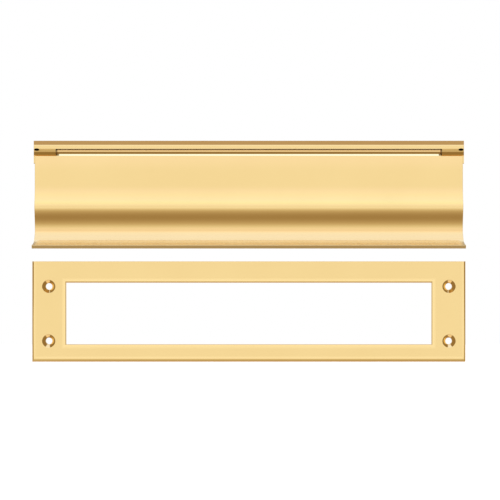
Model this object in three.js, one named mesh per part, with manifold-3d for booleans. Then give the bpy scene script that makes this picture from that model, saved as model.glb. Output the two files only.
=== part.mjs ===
// Letter plate: an outer flap unit and the loose frame for the inside of the door.
// Millimetres. X is the width, +Z is up, the front faces -Y. The outer face of the
// door is the plane y = 0, and the origin is the centre of the flap unit's aperture.
import * as THREE from 'three';
import { mergeVertices } from 'three/addons/utils/BufferGeometryUtils.js';
import Module from 'manifold-3d';

const wasm = await Module();
wasm.setup();

// ---------------------------------------------------------------- dimensions
const GAP = 0.3;                 // running and seating clearance

// flap unit
const UNIT_HALF_W = 164.4;       // 13 in nominal width over the end blocks
const UNIT_TOP = 45.2;
const APERTURE_HALF_W = 139.7;   // 11 in
const APERTURE_HALF_H = 23.8;
const PLATE_T = 4.0;
const PLATE_HALF_W = 162.9;
const PLATE_BOTTOM = -36.5;
const PLATE_TOP = 44.2;

// hinge
const PIN_D = 7.0;               // pin axis, distance in front of the door
const PIN_Z = 36.4;
const PIN_R = 1.0;
const PIN_HALF_L = 163.9;
const BARREL_R = 2.4;
const BARREL_HALF_L = 146.85;
const BORE_R = PIN_R + GAP;
const SPRING_R = 1.5;            // middle of the wire
const SPRING_WIRE_R = 0.22;
const SPRING_POCKET_R = 1.95;
const SPRING_POCKET_L = 24;
const END_DRAFT = 0.1656;         // the header's ends widen towards the door, mm per mm
const BLOCK_IN = 147.75;         // inner face of each end block
const HEADER_FRONT = 10.4;
const CHEEK_FOOT_Z = 27.4;

// flap leaf
const LEAF_HALF_W = 163.7;
const LEAF_T = 2.2;
const LEAF_EDGE_TOP = 34.6;      // the leaf's top edge is chamfered in front
// front face of the leaf: [distance from the door, height], down to the lip
const LEAF_FRONT = [
  [9.50, 32.26], [9.77, 24.52], [9.82, 10.44], [9.94, 6.65], [10.08, 4.96], [10.31, 3.30],
  [10.68, 1.30], [11.63, -3.13], [11.81, -4.39], [11.87, -5.58], [11.77, -7.26], [11.48, -9.50],
  [10.12, -16.69], [9.66, -19.77], [9.47, -21.57], [9.38, -23.17], [9.39, -24.21], [9.51, -25.09],
  [9.77, -25.86], [10.19, -26.88], [10.74, -27.95], [11.38, -28.96], [12.02, -29.84],
  [12.73, -30.68], [13.43, -31.38], [14.11, -31.97], [14.75, -32.45], [15.50, -32.93],
  [16.49, -33.41], [17.71, -33.86], [19.44, -34.34], [21.60, -34.77], [24.37, -35.17],
];
const LIP_END = [24.75, -35.3];  // the lip's edge leans back under it
const PAD_Z = -30.5;             // rubber pads under the leaf's flare
const PAD_TIP = 7.6;

// fixings through the door
const POST_X = 154;
const POST_Z = 21;
const POST_R = 4.2;
const POST_L = 38;
const POST_BORE_R = 2.45;
const SCREW_R = 2.12;
const SCREW_HEAD_R = 4.9;

// inner frame
const FRAME_HALF_W = 166.9;      // 13-1/8 in
const FRAME_H = 77.3;            // 3 in nominal
const FRAME_TOP = -47.65;
const FRAME_T = 4.0;
const FRAME_ROUND = 1.3;
const FRAME_SINK_DEPTH = 1.9;
const FRAME_OPEN_HALF_W = 140.8;
const FRAME_OPEN_H = 47.5;
const FRAME_OPEN_TOP = FRAME_TOP - 16.45;
const FRAME_HOLE_R = 2.6;
const FRAME_SINK_R = 4.95;
const FRAME_CENTRE_Z = -88.0;   // middle of the four holes

// ---------------------------------------------------------------- materials
const brass = () => new THREE.MeshStandardMaterial({ color: 0xd9b36a, metalness: 1, roughness: 0.16 });
const brassDull = () => new THREE.MeshStandardMaterial({ color: 0xb8934f, metalness: 1, roughness: 0.4 });
const steel = () => new THREE.MeshStandardMaterial({ color: 0xb9bcc0, metalness: 1, roughness: 0.3 });
const zincSteel = () => new THREE.MeshStandardMaterial({ color: 0x9fa3a6, metalness: 1, roughness: 0.45 });
const rubber = () => new THREE.MeshStandardMaterial({ color: 0x262626, metalness: 0, roughness: 0.8 });

// ---------------------------------------------------------------- solids
function toSolid(geometry) {
  let g = geometry.clone();
  g.deleteAttribute('normal');
  g.deleteAttribute('uv');
  g = mergeVertices(g, 1e-4);
  const p = g.attributes.position.array;
  const raw = g.index.array;
  const tris = [];
  let volume = 0;
  for (let i = 0; i < raw.length; i += 3) {
    const [a, b, c] = [raw[i], raw[i + 1], raw[i + 2]];
    if (a === b || b === c || a === c) continue;
    tris.push(a, b, c);
    const ax = p[3 * a], ay = p[3 * a + 1], az = p[3 * a + 2];
    const bx = p[3 * b], by = p[3 * b + 1], bz = p[3 * b + 2];
    const cx = p[3 * c], cy = p[3 * c + 1], cz = p[3 * c + 2];
    volume += ax * (by * cz - bz * cy) + ay * (bz * cx - bx * cz) + az * (bx * cy - by * cx);
  }
  if (volume < 0) {
    for (let i = 0; i < tris.length; i += 3) [tris[i + 1], tris[i + 2]] = [tris[i + 2], tris[i + 1]];
  }
  return new wasm.Manifold(new wasm.Mesh({
    numProp: 3, vertProperties: new Float32Array(p), triVerts: new Uint32Array(tris),
  }));
}

function toGeometry(solid) {
  const m = solid.getMesh();
  const g = new THREE.BufferGeometry();
  g.setAttribute('position', new THREE.BufferAttribute(new Float32Array(m.vertProperties), 3));
  g.setIndex(new THREE.BufferAttribute(new Uint32Array(m.triVerts), 1));
  g.computeVertexNormals();
  return g;
}

// extrude a closed outline of [distance from the door, z] along X
function alongX(outline, x0, x1) {
  const shape = new THREE.Shape(outline.map(([d, z]) => new THREE.Vector2(-d, z)));
  const g = new THREE.ExtrudeGeometry(shape, { depth: x1 - x0, bevelEnabled: false });
  g.applyMatrix4(new THREE.Matrix4().makeBasis(
    new THREE.Vector3(0, 1, 0), new THREE.Vector3(0, 0, 1), new THREE.Vector3(1, 0, 0)));
  g.translate(x0, 0, 0);
  return toSolid(g);
}

// box from its limits; d0 and d1 are distances in front of the door
function block(x0, x1, d0, d1, z0, z1) {
  const g = new THREE.BoxGeometry(x1 - x0, d1 - d0, z1 - z0);
  g.translate((x0 + x1) / 2, -(d0 + d1) / 2, (z0 + z1) / 2);
  return toSolid(g);
}

// body of revolution about X through the pin axis, profile [radius, x]
function turnedX(profile, segments, d = PIN_D, z = PIN_Z) {
  const g = new THREE.LatheGeometry(profile.map(([r, x]) => new THREE.Vector2(r, x)), segments);
  g.rotateZ(-Math.PI / 2);
  g.translate(0, -d, z);
  return toSolid(g);
}

// body of revolution about Y, profile [radius, y]
function turnedY(profile, segments, x, z) {
  const g = new THREE.LatheGeometry(profile.map(([r, y]) => new THREE.Vector2(r, y)), segments);
  g.translate(x, 0, z);
  return toSolid(g);
}

const rodX = (r, x0, x1, n = 16, d, z) => turnedX([[0, x0], [r, x0], [r, x1], [0, x1]], n, d, z);
const rodY = (r, y0, y1, x, z, n = 20) => turnedY([[0, y0], [r, y0], [r, y1], [0, y1]], n, x, z);

function arc(cd, cz, r, a0, a1, n) {
  const pts = [];
  for (let i = 0; i <= n; i++) {
    const a = (a0 + (a1 - a0) * i / n) * Math.PI / 180;
    pts.push([cd + r * Math.cos(a), cz + r * Math.sin(a)]);
  }
  return pts;
}

const object = new THREE.Group();
function add(name, solid, material) {
  const mesh = new THREE.Mesh(toGeometry(solid), material);
  mesh.name = name;
  object.add(mesh);
}

// ---------------------------------------------------------------- backplate
let backplate = block(-PLATE_HALF_W, PLATE_HALF_W, 0, PLATE_T, PLATE_BOTTOM, PLATE_TOP)
  .subtract(block(-APERTURE_HALF_W, APERTURE_HALF_W, -5, 10, -APERTURE_HALF_H, APERTURE_HALF_H));
for (const x of [-POST_X, POST_X]) {
  for (const z of [-POST_Z, POST_Z]) backplate = backplate.subtract(rodY(2.3, -6, 5, x, z, 16));
}
const HEADER_SCREW_X = [-125, -45, 45, 125];
const HEADER_SCREW_Z = 41.5;
for (const x of HEADER_SCREW_X) {
  // countersunk from the back face
  backplate = backplate.subtract(turnedY(
    [[0, -6], [1.85, -6], [1.85, -1.6], [3.05, -0.3], [3.05, 1], [0, 1]], 16, x, HEADER_SCREW_Z));
}
// small sockets for the rubber pads
for (const x of [-152, 152]) backplate = backplate.subtract(rodY(1.35, -6, 5, x, PAD_Z, 16));
add('backplate', backplate, brass());

// ---------------------------------------------------------------- hinge header
const back = PLATE_T + GAP;
// rail above the barrel, with a round clearance groove for the barrel
const railOutline = [
  [back, UNIT_TOP], [10.1, 41.69], [10.33, 41.5], [HEADER_FRONT, 41.2],
  [HEADER_FRONT, 38.5], [10.35, 38.37], [10.2, 38.32],
  ...arc(PIN_D, PIN_Z, BARREL_R + 0.5, 45, 158, 8),
];
const widest = UNIT_HALF_W + 1.2;
let header = alongX(railOutline, -widest, widest);
// end blocks: a knuckle round the pin and a cheek behind the leaf
const blockOutline = [
  [back, 40], [10.0, 40], [10.0, 38.2], [9.62, 36.05], [8.68, 33.82], [8.3, 33.5], [7.2, 33.3],
  [6.9, 32.0], [6.7, CHEEK_FOOT_Z], [back, CHEEK_FOOT_Z],
];
for (const s of [-1, 1]) {
  const [a, b] = s < 0 ? [-widest, -BLOCK_IN] : [BLOCK_IN, widest];
  header = header.add(alongX(blockOutline, a, b));
}
header = header.subtract(rodX(PIN_R + GAP, -200, 200, 16));
for (const s of [-1, 1]) {
  // drafted end faces
  const end = new THREE.BoxGeometry(20, 60, 200);
  end.translate(s * 10, 0, 0);
  end.rotateZ(-s * Math.atan(END_DRAFT));
  end.translate(s * UNIT_HALF_W, -HEADER_FRONT, 0);
  header = header.subtract(toSolid(end));
  // narrow recess at the outer end of each block, under the rail
  const g = new THREE.CylinderGeometry(1, 1, 6, 16);
  g.scale(1.95, 1, 0.9);
  g.translate(s * 162.2, -11.6, 37.85);
  header = header.subtract(toSolid(g));
  // hole for the spring's fixed leg, beside the pin
  header = header.subtract(rodX(0.55, s < 0 ? -153 : 147, s < 0 ? -147 : 153, 10, PIN_D - SPRING_R, PIN_Z));
  // set screw hole from behind
  header = header.subtract(rodY(1.75, -(PIN_D - 0.5), 0, s * 157.5, PIN_Z, 16));
}
for (const x of HEADER_SCREW_X) header = header.subtract(rodY(1.75, -7.4, 0, x, HEADER_SCREW_Z, 16));
add('hinge_header', header, brass());

// ---------------------------------------------------------------- flap
// leaf: the front line, and the back line one thickness behind it
const edge = [[7.9, LEAF_EDGE_TOP], [8.66, LEAF_EDGE_TOP], [8.78, 34.54], [9.42, 33.3]];
const front = LEAF_FRONT;
const rear = front.map(([d, z], i) => {
  const [d0, z0] = front[Math.max(0, i - 1)];
  const [d1, z1] = front[Math.min(front.length - 1, i + 1)];
  const l = Math.hypot(d1 - d0, z1 - z0);
  return [d + (z1 - z0) / l * LEAF_T, z - (d1 - d0) / l * LEAF_T];
});
rear[rear.length - 1] = [23.55, -37.95];
const leafOutline = [...edge, ...front, LIP_END, [24.73, -35.6], [23.9, -37.85], [23.8, -38.0], ...rear.reverse(), [7.3, 34.2]];
let flap = alongX(leafOutline, -LEAF_HALF_W, LEAF_HALF_W);
// the leaf is cut away round the end blocks' knuckles
for (const s of [-1, 1]) {
  const cut = [
    [0, CHEEK_FOOT_Z - 0.4], [7.0, CHEEK_FOOT_Z - 0.4], [7.1, 33.0],
    [14, 33.0], [14, 46], [0, 46],
  ];
  const [a, b] = s < 0 ? [-200, -BARREL_HALF_L] : [BARREL_HALF_L, 200];
  flap = flap.subtract(alongX(cut, a, b));
}
flap = flap.add(rodX(BARREL_R, -BARREL_HALF_L, BARREL_HALF_L, 24));
flap = flap.subtract(rodX(BORE_R, -200, 200, 16));
for (const s of [-1, 1]) {
  const edge = s * (BARREL_HALF_L - SPRING_POCKET_L);
  const [a, b] = s < 0 ? [-200, edge] : [edge, 200];
  flap = flap.subtract(rodX(SPRING_POCKET_R, a, b, 16));
  // hole for the spring's moving leg, below the pin
  const [c, d] = s < 0 ? [edge - 1, edge + 4] : [edge - 4, edge + 1];
  flap = flap.subtract(rodX(0.5, c, d, 10, PIN_D - SPRING_R, PIN_Z));
}
add('flap', flap, brass());

// ---------------------------------------------------------------- pin, washers, set screws
add('hinge_pin', turnedX([
  [0, -PIN_HALF_L], [PIN_R - 0.3, -PIN_HALF_L], [PIN_R, -PIN_HALF_L + 0.4],
  [PIN_R, PIN_HALF_L - 0.4], [PIN_R - 0.3, PIN_HALF_L], [0, PIN_HALF_L]], 16), steel());
for (const [side, s] of [['left', -1], ['right', 1]]) {
  const x0 = s * ((BLOCK_IN + BARREL_HALF_L) / 2) - 0.2;
  add(`hinge_washer_${side}`, rodX(2.35, x0, x0 + 0.4, 18).subtract(rodX(1.85, x0 - 1, x0 + 1.4, 18)), brassDull());
  const tip = -(PIN_D - PIN_R - GAP);
  let screw = turnedY([[0, tip], [0.9, tip], [1.42, tip + 0.4], [1.42, -4.4], [0, -4.4]], 14, s * 157.5, PIN_Z);
  const slot = block(s * 157.5 - 2, s * 157.5 + 2, 4, 4.8, PIN_Z - 0.25, PIN_Z + 0.25);
  screw = screw.subtract(slot);
  add(`pin_set_screw_${side}`, screw, zincSteel());
}

// ---------------------------------------------------------------- return springs
class SpringPath extends THREE.Curve {
  constructor(s) { super(); this.s = s; }
  getPoint(t, target = new THREE.Vector3()) {
    // straight leg into the block, 9 turns round the pin, straight leg into the flap
    const r = SPRING_R, leg = 4.2, coil = 22, turns = 9;
    const outer = BLOCK_IN + 3, total = 2 * leg + coil;
    const u = t * total;
    const turn = Math.min(Math.max((u - leg) / coil, 0), 1) * turns * 2 * Math.PI;
    const x = this.s * (outer - u);
    return target.set(x, -PIN_D + r * Math.cos(turn), PIN_Z + r * Math.sin(turn));
  }
}
for (const [side, s] of [['left', -1], ['right', 1]]) {
  const section = new THREE.Shape();
  for (let i = 0; i < 5; i++) {
    const a = i * 2 * Math.PI / 5;
    if (i === 0) section.moveTo(SPRING_WIRE_R * Math.cos(a), SPRING_WIRE_R * Math.sin(a));
    else section.lineTo(SPRING_WIRE_R * Math.cos(a), SPRING_WIRE_R * Math.sin(a));
  }
  const g = new THREE.ExtrudeGeometry(section, { steps: 84, extrudePath: new SpringPath(s), bevelEnabled: false });
  add(`return_spring_${side}`, toSolid(g), steel());
}

// ---------------------------------------------------------------- header screws
HEADER_SCREW_X.forEach((x, i) => {
  let screw = turnedY([[0, -7.0], [1.0, -7.0], [1.42, -6.5], [1.42, -1.75], [2.75, -0.42], [2.75, -0.1], [0, -0.1]],
    16, x, HEADER_SCREW_Z);
  screw = screw.subtract(block(x - 4, x + 4, -1, 0.9, HEADER_SCREW_Z - 0.35, HEADER_SCREW_Z + 0.35));
  add(`header_screw_${i + 1}`, screw, zincSteel());
});

// ---------------------------------------------------------------- posts and fixing screws
for (const [row, sz] of [['upper', 1], ['lower', -1]]) {
  for (const [side, sx] of [['left', -1], ['right', 1]]) {
    const x = sx * POST_X, z = sz * POST_Z;
    // spigot in the plate, shoulder on its back face, tapped bore in the far end
    add(`fixing_post_${row}_${side}`, turnedY([
      [0, -(PLATE_T - 0.3)], [2.0, -(PLATE_T - 0.3)], [2.0, GAP], [POST_R, GAP], [POST_R, POST_L - 0.5], [POST_R - 0.5, POST_L],
      [POST_BORE_R, POST_L], [POST_BORE_R, 9.5], [0, 8.2]], 18, x, z), brassDull());
    let screw = turnedY([
      [0, 11.5], [1.5, 11.5], [SCREW_R, 12.5], [SCREW_R, POST_L + 1.0], [SCREW_HEAD_R, POST_L + 3.0],
      [SCREW_HEAD_R, POST_L + 3.3], [3.4, POST_L + 4.0], [0, POST_L + 4.3]], 18, x, z);
    screw = screw.subtract(block(x - 6, x + 6, -(POST_L + 6), -(POST_L + 2.9), z - 0.5, z + 0.5));
    add(`fixing_screw_${row}_${side}`, screw, brass());
  }
}

// ---------------------------------------------------------------- rubber pads
for (const [side, s] of [['left', -1], ['right', 1]]) {
  add(`flap_bumper_${side}`, turnedY([
    [0, -PAD_TIP], [2.0, -PAD_TIP], [2.7, -(PAD_TIP - 0.4)], [3.0, -(PAD_TIP - 1.2)], [3.0, -(PLATE_T + 0.2)],
    [1.1, -(PLATE_T + 0.2)], [1.1, -0.4], [0, -0.4]], 16, s * 152, PAD_Z), rubber());
}

// ---------------------------------------------------------------- inner frame
function rectangle(x0, x1, z0, z1) {
  return [[x0, z0], [x1, z0], [x1, z1], [x0, z1]].map(([x, z]) => new THREE.Vector2(x, z));
}
{
  const r = FRAME_ROUND;
  const shape = new THREE.Shape(rectangle(-FRAME_HALF_W, FRAME_HALF_W, FRAME_TOP - FRAME_H, FRAME_TOP));
  shape.holes.push(new THREE.Path(rectangle(
    -FRAME_OPEN_HALF_W, FRAME_OPEN_HALF_W, FRAME_OPEN_TOP - FRAME_OPEN_H, FRAME_OPEN_TOP).reverse()));
  // rounded front edges; the rear bevel is cut off
  const g = new THREE.ExtrudeGeometry(shape, {
    depth: 4, bevelEnabled: true, bevelSize: r, bevelOffset: -r, bevelThickness: 1.3, bevelSegments: 4,
  });
  g.rotateX(Math.PI / 2);           // front of the extrusion to -Y
  g.translate(0, 1.3 + 4 - FRAME_T, 0);
  let frame = toSolid(g).subtract(block(-200, 200, -20, 0, -200, 200));
  for (const x of [-POST_X, POST_X]) {
    for (const dz of [-POST_Z, POST_Z]) {
      frame = frame.subtract(turnedY([
        [0, -8], [FRAME_SINK_R + 0.5, -8], [FRAME_SINK_R + 0.02, -FRAME_T - 0.02], [FRAME_SINK_R, -FRAME_T], [FRAME_HOLE_R, -FRAME_T + FRAME_SINK_DEPTH],
        [FRAME_HOLE_R, 3], [0, 3]], 22, x, FRAME_CENTRE_Z + dz));
    }
  }
  add('interior_frame', frame, brass());
}

export default object;
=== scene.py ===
# Looks of the letter plate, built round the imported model. Lengths in the shape code are
# millimetres, with d the distance in front of the door's outer face (the plane y = 0);
# they are turned into metres when a mesh is made.
import math
import bpy
import bmesh
import numpy as np
from mathutils import Vector, Matrix


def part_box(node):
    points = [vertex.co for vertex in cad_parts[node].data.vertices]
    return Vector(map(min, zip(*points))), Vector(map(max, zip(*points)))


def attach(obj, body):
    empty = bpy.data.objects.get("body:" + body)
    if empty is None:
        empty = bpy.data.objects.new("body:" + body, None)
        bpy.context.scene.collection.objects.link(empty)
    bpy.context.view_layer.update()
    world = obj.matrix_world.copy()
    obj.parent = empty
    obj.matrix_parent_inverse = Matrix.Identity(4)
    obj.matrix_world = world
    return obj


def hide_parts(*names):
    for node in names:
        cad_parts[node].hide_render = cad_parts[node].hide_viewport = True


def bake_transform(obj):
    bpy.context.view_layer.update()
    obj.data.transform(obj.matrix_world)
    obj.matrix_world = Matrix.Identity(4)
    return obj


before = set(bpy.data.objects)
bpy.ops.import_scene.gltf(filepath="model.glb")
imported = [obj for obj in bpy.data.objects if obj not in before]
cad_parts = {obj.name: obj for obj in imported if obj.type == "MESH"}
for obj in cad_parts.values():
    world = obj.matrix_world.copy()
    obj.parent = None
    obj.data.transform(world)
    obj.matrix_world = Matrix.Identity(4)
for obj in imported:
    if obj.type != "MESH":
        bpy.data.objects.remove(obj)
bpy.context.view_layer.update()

MM = 0.001
scene = bpy.context.scene


# ------------------------------------------------------------------ places from the frame
def box_mm(node):
    lo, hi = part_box(node)
    return [v / MM for v in lo], [v / MM for v in hi]


F_LO, F_HI = box_mm("interior_frame")
L_LO, L_HI = box_mm("flap")
H_LO, H_HI = box_mm("hinge_header")
P_LO, P_HI = box_mm("backplate")
PIN_LO, PIN_HI = box_mm("hinge_pin")
PIN_D = -(PIN_LO[1] + PIN_HI[1]) / 2
PIN_Z = (PIN_LO[2] + PIN_HI[2]) / 2
PIN_R = (PIN_HI[2] - PIN_LO[2]) / 2
LEAF_W = L_HI[0]
HEAD_W = H_HI[0]
WASHER = box_mm("hinge_washer_right")
BARREL_W = WASHER[0][0] - 0.25
BLOCK_IN = WASHER[1][0] + 0.25
HEADER_FRONT = -H_LO[1]
PLATE_T = -P_LO[1]


# ------------------------------------------------------------------ mesh helpers
def link(o):
    scene.collection.objects.link(o)
    return o


def mesh_from(name, verts, faces):
    me = bpy.data.meshes.new(name)
    me.from_pydata([(x * MM, y * MM, z * MM) for x, y, z in verts], [], faces)
    me.validate(clean_customdata=False)
    o = link(bpy.data.objects.new(name, me))
    fix_normals(o)
    return o


def fix_normals(o):
    bm = bmesh.new()
    bm.from_mesh(o.data)
    bmesh.ops.remove_doubles(bm, verts=bm.verts, dist=1e-7)
    bmesh.ops.recalc_face_normals(bm, faces=bm.faces)
    if bm.calc_volume(signed=True) < 0:
        bmesh.ops.reverse_faces(bm, faces=bm.faces)
    bm.to_mesh(o.data)
    bm.free()


def bake(o):
    """Modifiers of o become its mesh."""
    dg = bpy.context.evaluated_depsgraph_get()
    me = bpy.data.meshes.new_from_object(o.evaluated_get(dg))
    o.modifiers.clear()
    old = o.data
    o.data = me
    bpy.data.meshes.remove(old)
    me.name = o.name


def boolean(o, cutter, kind="DIFFERENCE"):
    m = o.modifiers.new("b", "BOOLEAN")
    m.operation = kind
    m.solver = "EXACT"
    m.object = cutter
    bake(o)
    me = cutter.data
    bpy.data.objects.remove(cutter)
    bpy.data.meshes.remove(me)


def smooth(o, angle=32, weighted=True):
    me = o.data
    for p in me.polygons:
        p.use_smooth = True
    me.set_sharp_from_angle(angle=math.radians(angle))
    if weighted:
        m = o.modifiers.new("wn", "WEIGHTED_NORMAL")
        m.keep_sharp = True
        m.weight = 60
        bake(o)


def sweep_x(name, outline, w, r=0.3, steps=3):
    """A closed outline of (d, z) swept from -w to w along X, with ends rounded by r."""
    pts = np.array(outline, float)
    n = len(pts)
    nxt, prv = np.roll(pts, -1, 0), np.roll(pts, 1, 0)
    t1, t0 = nxt - pts, pts - prv
    t1 /= np.linalg.norm(t1, axis=1)[:, None]
    t0 /= np.linalg.norm(t0, axis=1)[:, None]
    area = 0.5 * np.sum(pts[:, 0] * nxt[:, 1] - nxt[:, 0] * pts[:, 1])
    s = 1.0 if area > 0 else -1.0
    n1 = np.stack([-t1[:, 1], t1[:, 0]], 1) * s          # inward
    n0 = np.stack([-t0[:, 1], t0[:, 0]], 1) * s
    nn = n0 + n1
    nn /= np.linalg.norm(nn, axis=1)[:, None]
    k = 1 / np.maximum(np.sum(nn * n1, 1), 0.5)
    nn = nn * k[:, None]
    rings = []
    if r > 0:
        for i in range(steps + 1):
            a = math.pi / 2 * i / steps
            rings.append((w - r + r * math.sin(a), r * (1 - math.cos(a))))
        rings = rings[::-1]
        rings.append((w - r - 0.15, 0.0))
    else:
        rings = [(w, 0.0)]
    xs = [(x, off) for x, off in rings] + [(-x, off) for x, off in rings[::-1]]
    verts, faces = [], []
    for x, off in xs:
        q = pts + nn * off
        verts += [(x, -d, z) for d, z in q]
    for i in range(len(xs) - 1):
        a, b = i * n, (i + 1) * n
        for j in range(n):
            k2 = (j + 1) % n
            faces.append((a + j, a + k2, b + k2, b + j))
    faces.append(tuple(range(n))[::-1])
    faces.append(tuple(range((len(xs) - 1) * n, len(xs) * n)))
    return mesh_from(name, verts, faces)


def lathe(name, profile, axis="Y", at=(0, 0, 0), segments=64):
    """Body of revolution. profile is (radius, position along the axis), from axis to axis."""
    verts, faces, rings = [], [], []
    for r, t in profile:
        if r < 1e-6:
            rings.append([len(verts)])
            verts.append((0.0, 0.0, t))
        else:
            base = len(verts)
            rings.append([base + i for i in range(segments)])
            verts += [(r * math.cos(2 * math.pi * i / segments), r * math.sin(2 * math.pi * i / segments), t)
                      for i in range(segments)]
    for a, b in zip(rings, rings[1:]):
        for i in range(segments):
            j = (i + 1) % segments
            if len(a) == 1 and len(b) == 1:
                break
            if len(a) == 1:
                faces.append((a[0], b[i], b[j]))
            elif len(b) == 1:
                faces.append((a[i], a[j], b[0]))
            else:
                faces.append((a[i], a[j], b[j], b[i]))
    if len(rings[0]) > 1 and profile[0] == profile[-1]:
        pass
    if axis == "Y":
        verts = [(x + at[0], t + at[1], -y + at[2]) for x, y, t in verts]
    elif axis == "X":
        verts = [(t + at[0], x + at[1], y + at[2]) for x, y, t in verts]
    return mesh_from(name, verts, faces)


def box(name, x0, x1, y0, y1, z0, z1):
    v = [(x, y, z) for x in (x0, x1) for y in (y0, y1) for z in (z0, z1)]
    f = [(0, 1, 3, 2), (4, 6, 7, 5), (0, 4, 5, 1), (2, 3, 7, 6), (0, 2, 6, 4), (1, 5, 7, 3)]
    return mesh_from(name, v, f)


def arc(cd, cz, r, a0, a1, n):
    return [(cd + r * math.cos(math.radians(a0 + (a1 - a0) * i / n)),
             cz + r * math.sin(math.radians(a0 + (a1 - a0) * i / n))) for i in range(n + 1)]


def corner(p, q, s, r, n=6):
    """Rounded corner at q between p and s, radius r."""
    p, q, s = (np.array(v, float) for v in (p, q, s))
    u, v = (p - q) / np.linalg.norm(p - q), (s - q) / np.linalg.norm(s - q)
    half = math.acos(max(-1, min(1, float(u @ v)))) / 2
    t = r / math.tan(half)
    c = q + (u + v) / np.linalg.norm(u + v) * (r / math.sin(half))
    a, b = q + u * t, q + v * t
    a0 = math.atan2(*(a - c)[::-1])
    a1 = math.atan2(*(b - c)[::-1])
    while a1 - a0 > math.pi:
        a1 -= 2 * math.pi
    while a1 - a0 < -math.pi:
        a1 += 2 * math.pi
    return [(float(c[0] + r * math.cos(a0 + (a1 - a0) * i / n)), float(c[1] + r * math.sin(a0 + (a1 - a0) * i / n)))
            for i in range(n + 1)]


def rounded(outline, radii, n=6):
    """Outline with each corner rounded by its radius."""
    out = []
    m = len(outline)
    for i, (q, r) in enumerate(zip(outline, radii)):
        if r <= 0:
            out.append(tuple(q))
        else:
            out += corner(outline[i - 1], q, outline[(i + 1) % m], r, n)
    return out


# ------------------------------------------------------------------ materials
class Nodes:
    def __init__(self, name):
        self.mat = bpy.data.materials.new(name)
        self.mat.use_nodes = True
        self.t = self.mat.node_tree
        self.b = self.t.nodes["Principled BSDF"]
        self.co = self.t.nodes.new("ShaderNodeTexCoord")

    def new(self, kind, **kw):
        n = self.t.nodes.new(kind)
        for k, v in kw.items():
            if k in n.inputs:
                n.inputs[k].default_value = v
            else:
                setattr(n, k, v)
        return n

    def to(self, a, b):
        self.t.links.new(a, b)

    def noise(self, scale, detail=2.0, rough=0.5, vector=None, stretch=None):
        src = vector or self.co.outputs["Object"]
        if stretch:
            mp = self.new("ShaderNodeMapping")
            mp.inputs["Scale"].default_value = stretch
            self.to(src, mp.inputs["Vector"])
            src = mp.outputs["Vector"]
        n = self.new("ShaderNodeTexNoise")
        n.inputs["Scale"].default_value = scale
        n.inputs["Detail"].default_value = detail
        n.inputs["Roughness"].default_value = rough
        self.to(src, n.inputs["Vector"])
        return n.outputs["Fac"]

    def ramp(self, fac, stops, mode="LINEAR"):
        r = self.new("ShaderNodeValToRGB")
        r.color_ramp.interpolation = mode
        e = r.color_ramp.elements
        while len(e) < len(stops):
            e.new(0.5)
        for s, (p, c) in zip(e, stops):
            s.position = p
            s.color = c if len(c) == 4 else (*c, 1)
        self.to(fac, r.inputs["Fac"])
        return r.outputs["Color"]

    def remap(self, fac, a, b, c, d):
        m = self.new("ShaderNodeMapRange")
        for k, v in (("From Min", a), ("From Max", b), ("To Min", c), ("To Max", d)):
            m.inputs[k].default_value = v
        self.to(fac, m.inputs["Value"])
        return m.outputs["Result"]

    def mix(self, fac, a, b, kind="MIX"):
        m = self.new("ShaderNodeMix", data_type="RGBA", blend_type=kind)
        for sock, v in ((m.inputs[0], fac), (m.inputs[6], a), (m.inputs[7], b)):
            if hasattr(v, "default_value") or isinstance(v, bpy.types.NodeSocket):
                self.to(v, sock)
            else:
                sock.default_value = v if isinstance(v, (int, float)) else (*v, 1)[:4]
        return m.outputs[2]

    def math(self, op, a, b=None, clamp=False):
        m = self.new("ShaderNodeMath", operation=op, use_clamp=clamp)
        for sock, v in ((m.inputs[0], a), (m.inputs[1], b)):
            if v is None:
                continue
            if isinstance(v, bpy.types.NodeSocket):
                self.to(v, sock)
            else:
                sock.default_value = v
        return m.outputs[0]

    def bump(self, height, strength, distance):
        m = self.new("ShaderNodeBump")
        m.inputs["Strength"].default_value = strength
        m.inputs["Distance"].default_value = distance
        self.to(height, m.inputs["Height"])
        self.to(m.outputs["Normal"], self.b.inputs["Normal"])


BRASS = (0.925, 0.690, 0.312)


def brass_nodes(name, rough=0.085, tint=BRASS, variation=0.02, scratch=0.010):
    """Polished, lacquered brass: polishing lines along X, faint clouding, small change of tone."""
    m = Nodes(name)
    b = m.b
    b.inputs["Metallic"].default_value = 1.0
    cloud = m.noise(22.0, 3.0, 0.55)
    darker = tuple(c * (1 - variation * k) for c, k in zip(tint, (0.7, 1.0, 1.6)))
    lighter = tuple(min(1.0, c * (1 + variation * k)) for c, k in zip(tint, (0.3, 0.4, 0.5)))
    col = m.mix(m.remap(cloud, 0.3, 0.7, 0, 1), darker, lighter)
    lines = m.noise(1.0, 4.0, 0.6, stretch=(18.0, 900.0, 900.0))
    r = m.math("ADD", m.remap(cloud, 0.25, 0.75, rough - 0.012, rough + 0.012),
               m.remap(lines, 0.35, 0.65, -scratch, scratch), clamp=True)
    m.to(col, b.inputs["Base Color"])
    m.to(r, b.inputs["Roughness"])
    return m, col, lines, r


def polished_brass(name="brass_polished", **kw):
    m, col, lines, r = brass_nodes(name, **kw)
    m.bump(lines, 0.02, 0.00002)
    return m.mat


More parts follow.
